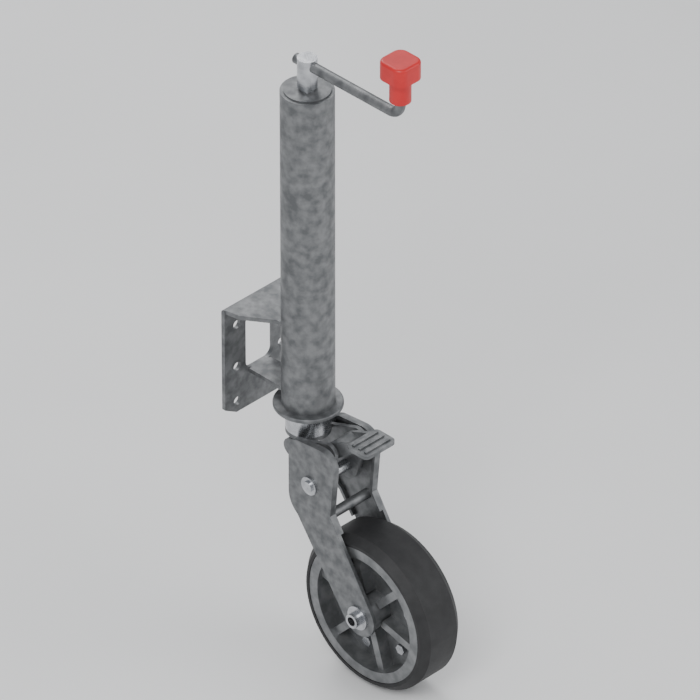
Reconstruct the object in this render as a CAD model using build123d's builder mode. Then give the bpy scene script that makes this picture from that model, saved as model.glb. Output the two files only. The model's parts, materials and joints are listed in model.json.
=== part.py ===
"""Folding trailer jack: a galvanised screw jack with a bolt-on side bracket, a swivelling ram
and a trailing fork that folds up when its foot pedal releases it.

Frame: millimetres, +Z up. The origin is the centre of the four outer bolt holes, on the mounting
face of the bracket. +X runs from the mounting face through the tube towards the wheel, and Y runs
along the wheel axle.
"""

import math
import os

from build123d import *

os.makedirs("parts", exist_ok=True)

# ---- driving dimensions -------------------------------------------------------------------------
TUBE_X = 95.0            # tube axis from the mounting face
TUBE_TOP = 444.0         # top of the outer tube
TUBE_R = 35.0
TUBE_WALL = 4.5
COLLAR_R = 46.0
COLLAR_THICK = 6.0
COLLAR_BOTTOM = -40.0    # lower face of the collar, and of the outer tube

RAM_R = 30.0
RAM_WALL = 4.0
RAM_TOP = 384.0
RAM_BOTTOM = -73.0

SPINDLE_R = 10.0
SPINDLE_BOTTOM = 60.0

PLATE_THICK = 6.0
PLATE_HALF_WIDTH = 62.0
PLATE_TOP = 92.0
PLATE_BOTTOM = -77.0
PLATE_CORNER = (20.0, 12.0)      # chamfer at the lower corners, along Y and Z
HOLE_R = 6.5
HOLE_Y = 40.0
HOLE_Z = 60.0
MIDDLE_HOLE_Z = -6.0
FLANGE_BEND_R = 5.0
SHELF_TOP = -19.0
SHELF_HALF_WIDTH = 19.0
WINDOW_HALF_WIDTH = 24.5
WINDOW_TOP = 66.0

PIVOT = (141.0, -124.0)          # fork pivot, X and Z
LATCH = (160.0, -71.0)           # pedal pivot
AXLE = (229.0, -289.0)           # wheel axle

CHEEK_IN = 23.0                  # inner and outer faces of the ram's cheeks
CHEEK_OUT = 29.0
LEG_SHEET = 5.0
LIP_DEPTH = 5.0                  # how far the lip round each leg turns in
LEG_UPPER_Y = 43.0               # outer face of a leg

WHEEL_R = 112.5
TYRE_WIDTH = 70.0
RIM_R = 98.5                     # outer edge of the rim's lips
SEAT_R = 92.0                    # tyre seat on the rim
RIM_EDGE_Y = 34.0
HUB_R = 25.0
HUB_HALF = 36.0
AXLE_R = 10.0
AXLE_BORE_R = 6.5
AXLE_END_Y = 56.0
RIM_BOLTS = 6
RIM_BOLT_PCD = 127.0
RIM_BOLT_ANGLE = 17.0

CRANK_R = 7.0
CRANK_ARM = 164.0                # spindle axis to knob axis
CRANK_TAIL = 20.0
CRANK_BEND = 17.0
CRANK_Z = TUBE_TOP + 38.8
KNOB_BOTTOM = TUBE_TOP + 62.0
KNOB_SHOULDER = TUBE_TOP + 96.0
KNOB_TOP = TUBE_TOP + 122.0
KNOB_HALF = 22.0
KNOB_CORNER = 13.5
NECK_R = 14.0

CLEAR = 0.3                      # general gap between parts that move on each other
FIT = 0.05                       # radial running clearance of a pin in a bore



def save(shape, name):
    """Labels a finished piece and writes it to its own STEP file."""
    shape.label = name
    export_step(shape, f"parts/{name}.step")
    return shape


def disc_plane(z):
    """A horizontal plane centred on the tube axis."""
    return Plane((TUBE_X, 0, z))


def cross_plane(centre, y):
    """A plane at this Y through (X, Z), with normal +Y, own x along X and own y along -Z."""
    return Plane(origin=(centre[0], y, centre[1]), x_dir=(1, 0, 0), z_dir=(0, 1, 0))


def ring(centre, low, high, outer, inner=0):
    """A round bar or ring along Y at (X, Z), between two Y values."""
    with BuildPart() as bar:
        with BuildSketch(cross_plane(centre, low)):
            Circle(outer)
            if inner:
                Circle(inner, mode=Mode.SUBTRACT)
        extrude(amount=high - low)
    return bar.part


def hull_slab(circles, y, thick):
    """A slab from this Y, shaped like a band round several circles, each given as ((X, Z), radius)."""
    with BuildPart() as slab:
        with BuildSketch(cross_plane((0, 0), y)):
            for (x, z), radius in circles:
                with Locations((x, -z)):
                    Circle(radius)
            make_hull()
        extrude(amount=thick)
    return slab.part


# ---- outer tube, collar, cap and bearing --------------------------------------------------------
BEARING_TOP = TUBE_TOP - 9.0
BEARING_R = 24.0
with BuildPart() as outer_tube:
    with BuildSketch(disc_plane(COLLAR_BOTTOM)):
        Circle(TUBE_R)
        Circle(TUBE_R - TUBE_WALL, mode=Mode.SUBTRACT)
    extrude(amount=TUBE_TOP - COLLAR_BOTTOM)
save(outer_tube.part, "outer_tube")

with BuildPart() as bottom_collar:
    with BuildSketch(disc_plane(COLLAR_BOTTOM)):
        Circle(COLLAR_R)
        Circle(TUBE_R, mode=Mode.SUBTRACT)
    extrude(amount=COLLAR_THICK)
    fillet(bottom_collar.edges().filter_by(GeomType.CIRCLE).sort_by(SortBy.RADIUS)[-2:], 1.8)
save(bottom_collar.part, "bottom_collar")

with BuildPart() as top_cap:
    with BuildSketch(disc_plane(BEARING_TOP)):
        Circle(TUBE_R - TUBE_WALL)
        Circle(SPINDLE_R + CLEAR, mode=Mode.SUBTRACT)
    extrude(amount=TUBE_TOP + 2 - BEARING_TOP)
save(top_cap.part, "top_cap")

with BuildPart() as thrust_bearing:
    with BuildSketch(disc_plane(BEARING_TOP - 11)):
        Circle(BEARING_R)
        Circle(SPINDLE_R + CLEAR, mode=Mode.SUBTRACT)
    extrude(amount=11)
save(thrust_bearing.part, "thrust_bearing")

# ---- mounting bracket: back plate, top flange and shelf -----------------------------------------
with BuildPart() as mounting_bracket:
    with BuildSketch(Plane.YZ):
        with BuildLine():
            cut_y = PLATE_HALF_WIDTH - PLATE_CORNER[0]
            cut_z = PLATE_BOTTOM + PLATE_CORNER[1]
            Polyline(
                (-PLATE_HALF_WIDTH, PLATE_TOP), (PLATE_HALF_WIDTH, PLATE_TOP), (PLATE_HALF_WIDTH, cut_z),
                (cut_y, PLATE_BOTTOM), (-cut_y, PLATE_BOTTOM), (-PLATE_HALF_WIDTH, cut_z),
                (-PLATE_HALF_WIDTH, PLATE_TOP),
            )
        make_face()
        with Locations((0, (WINDOW_TOP + SHELF_TOP) / 2)):
            RectangleRounded(2 * WINDOW_HALF_WIDTH, WINDOW_TOP - SHELF_TOP, 12, mode=Mode.SUBTRACT)
        with Locations(*[(y, z) for y in (-HOLE_Y, HOLE_Y) for z in (-HOLE_Z, MIDDLE_HOLE_Z, HOLE_Z)]):
            Circle(HOLE_R, mode=Mode.SUBTRACT)
    extrude(amount=PLATE_THICK)
    with BuildSketch(Plane.XY.offset(PLATE_TOP - PLATE_THICK)):
        with BuildLine():
            Polyline(
                (0, -PLATE_HALF_WIDTH), (28, -56), (68, -29), (TUBE_X, -29),
                (TUBE_X, 29), (68, 29), (28, 56), (0, PLATE_HALF_WIDTH), (0, -PLATE_HALF_WIDTH),
            )
        make_face()
        with Locations((TUBE_X, 0)):
            Circle(TUBE_R, mode=Mode.SUBTRACT)
    extrude(amount=PLATE_THICK)
    with BuildSketch(Plane.XY.offset(SHELF_TOP - PLATE_THICK)):
        with Locations((TUBE_X / 2, 0)):
            Rectangle(TUBE_X, 2 * SHELF_HALF_WIDTH)
        with Locations((TUBE_X, 0)):
            Circle(TUBE_R, mode=Mode.SUBTRACT)
    extrude(amount=PLATE_THICK)
    bend = mounting_bracket.edges().filter_by(Axis.Y).filter_by_position(Axis.X, -0.1, 0.1)
    fillet(bend.sort_by(Axis.Z)[-1], FLANGE_BEND_R)
save(mounting_bracket.part, "mounting_bracket")

# ---- lead screw, crank and knob -----------------------------------------------------------------
HEAD_R = 13.0
with BuildPart() as spindle:
    with BuildSketch(disc_plane(SPINDLE_BOTTOM)):
        Circle(SPINDLE_R)
    extrude(amount=TUBE_TOP + 6 - SPINDLE_BOTTOM)
    with BuildSketch(disc_plane(TUBE_TOP + 6)):
        Circle(HEAD_R)
    extrude(amount=CRANK_Z + 10 - TUBE_TOP - 6)
    with BuildSketch(Plane(origin=(TUBE_X - 20, 0, CRANK_Z), z_dir=(1, 0, 0))):
        Circle(CRANK_R)
    extrude(amount=40, mode=Mode.SUBTRACT)
save(spindle.part, "spindle")

crank_path = FilletPolyline(
    (TUBE_X - CRANK_TAIL, 0, CRANK_Z), (TUBE_X + CRANK_ARM, 0, CRANK_Z), (TUBE_X + CRANK_ARM, 0, KNOB_TOP - 12),
    radius=CRANK_BEND,
)
with BuildPart() as crank_rod:
    with BuildSketch(Plane(origin=crank_path @ 0, z_dir=crank_path % 0)):
        Circle(CRANK_R)
    sweep(path=crank_path)
save(crank_rod.part, "crank_rod")

with BuildPart() as crank_knob:
    knob_axis = Plane((TUBE_X + CRANK_ARM, 0, KNOB_BOTTOM))
    with BuildSketch(knob_axis):
        Circle(NECK_R)
    extrude(amount=KNOB_SHOULDER - KNOB_BOTTOM)
    with BuildSketch(knob_axis.offset(KNOB_SHOULDER - KNOB_BOTTOM)):
        RectangleRounded(2 * KNOB_HALF, 2 * KNOB_HALF, KNOB_CORNER)
    extrude(amount=KNOB_TOP - KNOB_SHOULDER)
    fillet(crank_knob.edges().group_by(Axis.Z)[-1], 4)
    with BuildSketch(knob_axis):
        Circle(CRANK_R + FIT)
    extrude(amount=KNOB_TOP - 11.5 - KNOB_BOTTOM, mode=Mode.SUBTRACT)
save(crank_knob.part, "crank_knob")

# ---- ram: tube, nut, foot, cheeks and the pedal's pin -------------------------------------------
FOOT_THICK = 6.0
with BuildPart() as ram_tube:
    with BuildSketch(disc_plane(RAM_BOTTOM)):
        Circle(RAM_R)
        Circle(RAM_R - RAM_WALL, mode=Mode.SUBTRACT)
    extrude(amount=RAM_TOP - RAM_BOTTOM)
save(ram_tube.part, "ram_tube")

with BuildPart() as ram_nut:
    with BuildSketch(disc_plane(RAM_TOP - 28)):
        Circle(RAM_R - RAM_WALL)
        Circle(SPINDLE_R + FIT, mode=Mode.SUBTRACT)
    extrude(amount=28)
save(ram_nut.part, "ram_nut")

with BuildPart() as ram_foot:
    with BuildSketch(disc_plane(RAM_BOTTOM - FOOT_THICK)):
        Circle(RAM_R)
    extrude(amount=FOOT_THICK)
save(ram_foot.part, "ram_foot")

PIVOT_R = 8.0
LATCH_R = 6.0
with BuildPart() as ram_cheeks:
    for low in (-CHEEK_OUT, CHEEK_IN):
        add(hull_slab([((92, -96), 13), (PIVOT, 20), (LATCH, 13)], low, CHEEK_OUT - CHEEK_IN))
    with BuildSketch(disc_plane(RAM_BOTTOM - FOOT_THICK)):
        Circle(RAM_R)
    extrude(amount=60, mode=Mode.SUBTRACT)
    add(ring(PIVOT, -50, 50, PIVOT_R + FIT), mode=Mode.SUBTRACT)
    add(ring(LATCH, -50, 50, LATCH_R), mode=Mode.SUBTRACT)
save(ram_cheeks.part, "ram_cheeks")
save(ring(LATCH, -CHEEK_OUT - 1.5, CHEEK_OUT + 1.5, LATCH_R), "latch_pin")

# ---- foot pedal ---------------------------------------------------------------------------------
TREAD_X = (190.0, 228.0)
TREAD_Z = -44.0
with BuildPart() as foot_pedal:
    for low in (-21, 15):
        add(hull_slab([(LATCH, 11), ((196, TREAD_Z - 6), 6)], low, 6))
    add(ring(LATCH, -21, 21, 11))
    with BuildSketch(Plane.XY.offset(TREAD_Z - 5)):
        with Locations(((TREAD_X[0] + TREAD_X[1]) / 2, 0)):
            RectangleRounded(TREAD_X[1] - TREAD_X[0], 56, 8)
    extrude(amount=5)
    for x in (198, 209, 220):
        with BuildSketch(Plane.XY.offset(TREAD_Z)):
            with Locations((x, 0)):
                Rectangle(4, 44)
        extrude(amount=2)
    add(ring(LATCH, -50, 50, LATCH_R + FIT), mode=Mode.SUBTRACT)
save(foot_pedal.part, "foot_pedal")

# ---- fork: legs, crossbar, pivot and axle -------------------------------------------------------
LEG_IN = LEG_UPPER_Y - LEG_SHEET
UPPER_LEG = [((122, -84), 20), ((160, -84), 24), ((140, -150), 38)]
LOWER_LEG = [((146, -165), 32), (AXLE, 28)]


def fork_leg(side):
    """One pressed leg: a flat sheet with a lip turned in round it, cut back where the wheel turns."""
    sheet_low = LEG_IN if side > 0 else -LEG_UPPER_Y
    lip_low = LEG_IN - LIP_DEPTH if side > 0 else -LEG_IN
    with BuildPart() as leg:
        for circles in (UPPER_LEG, LOWER_LEG):
            add(hull_slab(circles, sheet_low, LEG_SHEET))
            add(hull_slab(circles, lip_low, LIP_DEPTH))
        for circles in (UPPER_LEG, LOWER_LEG):
            smaller = [(centre, radius - LEG_SHEET) for centre, radius in circles]
            add(hull_slab(smaller, lip_low, LIP_DEPTH), mode=Mode.SUBTRACT)
        add(ring(AXLE, lip_low, lip_low + LIP_DEPTH, WHEEL_R + 4), mode=Mode.SUBTRACT)
        add(ring(AXLE, -60, 60, AXLE_R), mode=Mode.SUBTRACT)
        add(ring(PIVOT, -60, 60, PIVOT_R), mode=Mode.SUBTRACT)
    return leg.part


for side, word in ((-1, "near"), (1, "far")):
    save(fork_leg(side), f"fork_leg_{word}")


def pair(centre, low, high, outer, inner):
    """Two equal rings, mirrored in Y."""
    with BuildPart() as both:
        add(ring(centre, low, high, outer, inner))
        add(ring(centre, -high, -low, outer, inner))
    return both.part


save(ring((164, -166), -LEG_IN, LEG_IN, 7, 4), "fork_crossbar")
save(ring(PIVOT, -49, 49, PIVOT_R), "pivot_pin")
save(pair(PIVOT, CHEEK_OUT + CLEAR, LEG_IN, 14, PIVOT_R), "pivot_spacers")
save(pair(PIVOT, LEG_UPPER_Y, LEG_UPPER_Y + 3, 13, PIVOT_R), "pivot_washers")
save(ring(AXLE, -AXLE_END_Y, AXLE_END_Y, AXLE_R, AXLE_BORE_R), "wheel_axle")
save(pair(AXLE, LEG_UPPER_Y, LEG_UPPER_Y + 3, 17, AXLE_R), "axle_washers")

# ---- wheel --------------------------------------------------------------------------------------
WHEEL_AXIS = Axis((AXLE[0], 0, AXLE[1]), (0, 1, 0))
RADIAL = Plane(origin=(AXLE[0], 0, AXLE[1]), x_dir=(1, 0, 0), z_dir=(0, 0, 1))
TYRE_HALF = TYRE_WIDTH / 2
with BuildPart() as tyre:
    with BuildSketch(RADIAL):
        with BuildLine():
            Polyline(
                (SEAT_R, -30.9), (RIM_R + 0.5, -30.9), (RIM_R + 0.5, -TYRE_HALF), (WHEEL_R - 9, -TYRE_HALF),
                (WHEEL_R, -TYRE_HALF + 11), (WHEEL_R, TYRE_HALF - 11), (WHEEL_R - 9, TYRE_HALF),
                (RIM_R + 0.5, TYRE_HALF), (RIM_R + 0.5, 30.9), (SEAT_R, 30.9), (SEAT_R, -30.9),
            )
        make_face()
    revolve(axis=WHEEL_AXIS)
save(tyre.part, "tyre")

BOLT_PLACES = [RIM_BOLT_ANGLE + 360 / RIM_BOLTS * turn for turn in range(RIM_BOLTS)]


def bolt_centre(angle):
    """The (X, Z) of the rim bolt at this angle round the axle."""
    reach = RIM_BOLT_PCD / 2
    return (AXLE[0] + reach * math.cos(math.radians(angle)), AXLE[1] + reach * math.sin(math.radians(angle)))


def rim_half(side):
    """One half of the split rim: barrel, outer lip, web and six spokes."""
    with BuildPart() as rim:
        with BuildSketch(RADIAL):
            with BuildLine():
                Polyline(
                    (HUB_R, 0.2 * side), (HUB_R, 8 * side), (84, 8 * side), (84, RIM_EDGE_Y * side),
                    (RIM_R, RIM_EDGE_Y * side), (RIM_R, 31 * side), (SEAT_R, 31 * side), (SEAT_R, 0.2 * side),
                    (HUB_R, 0.2 * side),
                )
            make_face()
        revolve(axis=WHEEL_AXIS)
        spoke_low = 8 if side > 0 else -26
        for angle in BOLT_PLACES:
            turned = angle + 30
            with BuildSketch(cross_plane(AXLE, spoke_low)):
                with Locations(Rotation(0, 0, -turned)):
                    with Locations((56, 0)):
                        Rectangle(59, 11)
            extrude(amount=18)
        for angle in BOLT_PLACES:
            add(ring(bolt_centre(angle), -40, 40, 4), mode=Mode.SUBTRACT)
    return rim.part


for side, word in ((-1, "near"), (1, "far")):
    save(rim_half(side), f"rim_{word}")

with BuildPart() as rim_bolts:
    for angle in BOLT_PLACES:
        add(ring(bolt_centre(angle), -14, 14, 4))
        for low in (-14, 8):
            with BuildSketch(cross_plane(bolt_centre(angle), low)):
                RegularPolygon(7.5, 6)
            extrude(amount=6)
save(rim_bolts.part, "rim_bolts")
save(ring(AXLE, -HUB_HALF, HUB_HALF, HUB_R, AXLE_R + 4), "wheel_hub")
save(pair(AXLE, HUB_HALF - 16, HUB_HALF, AXLE_R + 4, AXLE_R + FIT), "hub_bushes")
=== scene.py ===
"""Looks of the folding trailer jack: procedural metals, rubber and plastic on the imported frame."""
import json
import math

import bpy
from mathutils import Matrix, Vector


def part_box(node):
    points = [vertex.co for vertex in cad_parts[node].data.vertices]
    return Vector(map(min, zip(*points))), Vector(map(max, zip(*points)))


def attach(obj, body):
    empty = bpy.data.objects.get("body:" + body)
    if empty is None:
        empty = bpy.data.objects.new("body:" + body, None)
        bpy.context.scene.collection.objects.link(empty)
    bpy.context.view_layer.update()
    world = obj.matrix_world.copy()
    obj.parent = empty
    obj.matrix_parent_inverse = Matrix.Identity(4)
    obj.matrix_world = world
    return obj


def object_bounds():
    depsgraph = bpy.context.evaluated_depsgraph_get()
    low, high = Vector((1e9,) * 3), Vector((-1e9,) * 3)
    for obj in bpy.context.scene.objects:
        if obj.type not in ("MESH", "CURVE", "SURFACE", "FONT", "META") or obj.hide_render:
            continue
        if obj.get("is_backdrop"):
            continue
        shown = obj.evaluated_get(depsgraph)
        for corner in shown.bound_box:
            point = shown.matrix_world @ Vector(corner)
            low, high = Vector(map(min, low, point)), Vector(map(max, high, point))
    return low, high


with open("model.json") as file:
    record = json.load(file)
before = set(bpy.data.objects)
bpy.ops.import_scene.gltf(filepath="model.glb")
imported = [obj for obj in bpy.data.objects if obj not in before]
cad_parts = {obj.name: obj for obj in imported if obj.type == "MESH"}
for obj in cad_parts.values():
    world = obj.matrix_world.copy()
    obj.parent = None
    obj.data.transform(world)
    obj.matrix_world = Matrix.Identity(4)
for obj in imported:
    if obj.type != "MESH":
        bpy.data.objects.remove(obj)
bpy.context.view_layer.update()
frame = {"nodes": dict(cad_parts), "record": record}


# ---- materials ----------------------------------------------------------------------------------
def noise(nodes, links, coords, scale, detail):
    """A noise texture on the object coordinates."""
    texture = nodes.new("ShaderNodeTexNoise")
    texture.inputs["Scale"].default_value = scale
    texture.inputs["Detail"].default_value = detail
    links.new(coords.outputs["Object"], texture.inputs["Vector"])
    return texture


def mottled(name, dark, light, metallic, rough, patch_scale, grain_scale, bump):
    """A surface with soft patches of two tones, fine grain in its roughness and a slight bump."""
    material = bpy.data.materials.new(name)
    material.use_nodes = True
    nodes = material.node_tree.nodes
    links = material.node_tree.links
    shader = nodes["Principled BSDF"]
    coords = nodes.new("ShaderNodeTexCoord")

    patches = noise(nodes, links, coords, patch_scale, 4)
    tones = nodes.new("ShaderNodeValToRGB")
    tones.color_ramp.elements[0].position = 0.35
    tones.color_ramp.elements[0].color = (*dark, 1)
    tones.color_ramp.elements[1].position = 0.65
    tones.color_ramp.elements[1].color = (*light, 1)
    links.new(patches.outputs["Fac"], tones.inputs["Fac"])
    links.new(tones.outputs["Color"], shader.inputs["Base Color"])

    grain = noise(nodes, links, coords, grain_scale, 6)
    spread = nodes.new("ShaderNodeMapRange")
    spread.inputs["To Min"].default_value = rough[0]
    spread.inputs["To Max"].default_value = rough[1]
    links.new(grain.outputs["Fac"], spread.inputs["Value"])
    links.new(spread.outputs["Result"], shader.inputs["Roughness"])
    shader.inputs["Metallic"].default_value = metallic

    relief = nodes.new("ShaderNodeBump")
    relief.inputs["Strength"].default_value = bump
    relief.inputs["Distance"].default_value = 0.0005
    links.new(grain.outputs["Fac"], relief.inputs["Height"])
    links.new(relief.outputs["Normal"], shader.inputs["Normal"])
    return material


MATERIALS = {
    "galvanised": mottled("galvanised", (0.13, 0.135, 0.14), (0.24, 0.245, 0.25), 0.75, (0.42, 0.6), 70, 900, 0.25),
    "zinc_steel": mottled("zinc_steel", (0.4, 0.41, 0.43), (0.55, 0.56, 0.58), 0.95, (0.2, 0.34), 90, 1200, 0.1),
    "brass": mottled("brass", (0.45, 0.33, 0.14), (0.6, 0.46, 0.2), 0.95, (0.25, 0.4), 80, 900, 0.1),
    "rim_metal": mottled("rim_metal", (0.16, 0.165, 0.17), (0.26, 0.265, 0.27), 0.7, (0.35, 0.5), 60, 800, 0.2),
    "red_plastic": mottled("red_plastic", (0.5, 0.008, 0.01), (0.58, 0.012, 0.014), 0.0, (0.35, 0.45), 50, 1000, 0.12),
    "tyre_rubber": mottled("tyre_rubber", (0.012, 0.012, 0.013), (0.02, 0.02, 0.021), 0.0, (0.55, 0.7), 60, 700, 0.25),
}


def paint(frame_nodes, record):
    """Gives every CAD node the material of its slot."""
    for part in record["subparts"]:
        node = frame_nodes[part["node"]]
        node.data.materials.clear()
        node.data.materials.append(MATERIALS[part["material_slot"]])


paint(frame["nodes"], frame["record"])


# ---- a raised ring on each sidewall of the tyre ---------------------------------------------------
def sidewall_ring(side):
    """A thin moulded rib on the tyre's sidewall, sunk into the rubber."""
    low, high = (Vector(corner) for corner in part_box("tyre"))
    centre = (low + high) / 2
    rib_radius = 0.0007
    reach = (high.x - low.x) / 2 - 0.0115
    face_y = high.y if side > 0 else low.y
    bpy.ops.mesh.primitive_torus_add(
        major_radius=reach,
        minor_radius=rib_radius,
        major_segments=160,
        minor_segments=12,
        location=(centre.x, face_y - side * rib_radius, centre.z),
        rotation=(math.pi / 2, 0, 0),
    )
    rib = bpy.context.object
    rib.name = "sidewall_rib_near" if side < 0 else "sidewall_rib_far"
    rib.data.materials.append(MATERIALS["tyre_rubber"])
    for face in rib.data.polygons:
        face.use_smooth = True
    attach(rib, "wheel")


for side in (-1, 1):
    sidewall_ring(side)


# ---- stage, lights and camera -------------------------------------------------------------------
low, high = (Vector(corner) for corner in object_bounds())
middle = (low + high) / 2
height = high.z - low.z

bpy.ops.mesh.primitive_plane_add(size=12, location=(middle.x, middle.y, low.z - 0.0005))
floor = bpy.context.object
floor.name = "floor"
floor.data.materials.append(mottled("floor", (0.8, 0.8, 0.8), (0.83, 0.83, 0.83), 0.0, (0.8, 0.9), 2, 40, 0.0))
floor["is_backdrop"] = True


def area_light(name, place, size, power):
    """A soft square light aimed at the middle of the object."""
    data = bpy.data.lights.new(name, "AREA")
    data.size = size
    data.energy = power
    light = bpy.data.objects.new(name, data)
    light.location = middle + Vector(place)
    light.rotation_euler = (-Vector(place)).to_track_quat("-Z", "Y").to_euler()
    bpy.context.collection.objects.link(light)


area_light("key", (1.2, -2.2, 2.4), 1.6, 70)
area_light("fill", (2.4, 1.4, 1.4), 2.2, 35)
area_light("back", (-2.0, 0.8, 2.0), 1.5, 40)

world = bpy.data.worlds.new("studio")
world.use_nodes = True
world.node_tree.nodes["Background"].inputs["Color"].default_value = (0.9, 0.92, 0.95, 1)
world.node_tree.nodes["Background"].inputs["Strength"].default_value = 0.6
bpy.context.scene.world = world

CAMERA_AZIMUTH = math.radians(45)
CAMERA_ELEVATION = math.radians(35.26)
CAMERA_DISTANCE = 12.0
FRAME_MARGIN = 0.92
toward_camera = Vector((
    math.sin(CAMERA_AZIMUTH) * math.cos(CAMERA_ELEVATION),
    -math.cos(CAMERA_AZIMUTH) * math.cos(CAMERA_ELEVATION),
    math.sin(CAMERA_ELEVATION),
))
camera_data = bpy.data.cameras.new("camera")
camera_data.sensor_width = 36
camera_data.lens = camera_data.sensor_width * CAMERA_DISTANCE / (height * FRAME_MARGIN)
camera = bpy.data.objects.new("camera", camera_data)
camera.location = middle + toward_camera * CAMERA_DISTANCE
camera.rotation_euler = (-toward_camera).to_track_quat("-Z", "Y").to_euler()
bpy.context.collection.objects.link(camera)
bpy.context.scene.camera = camera
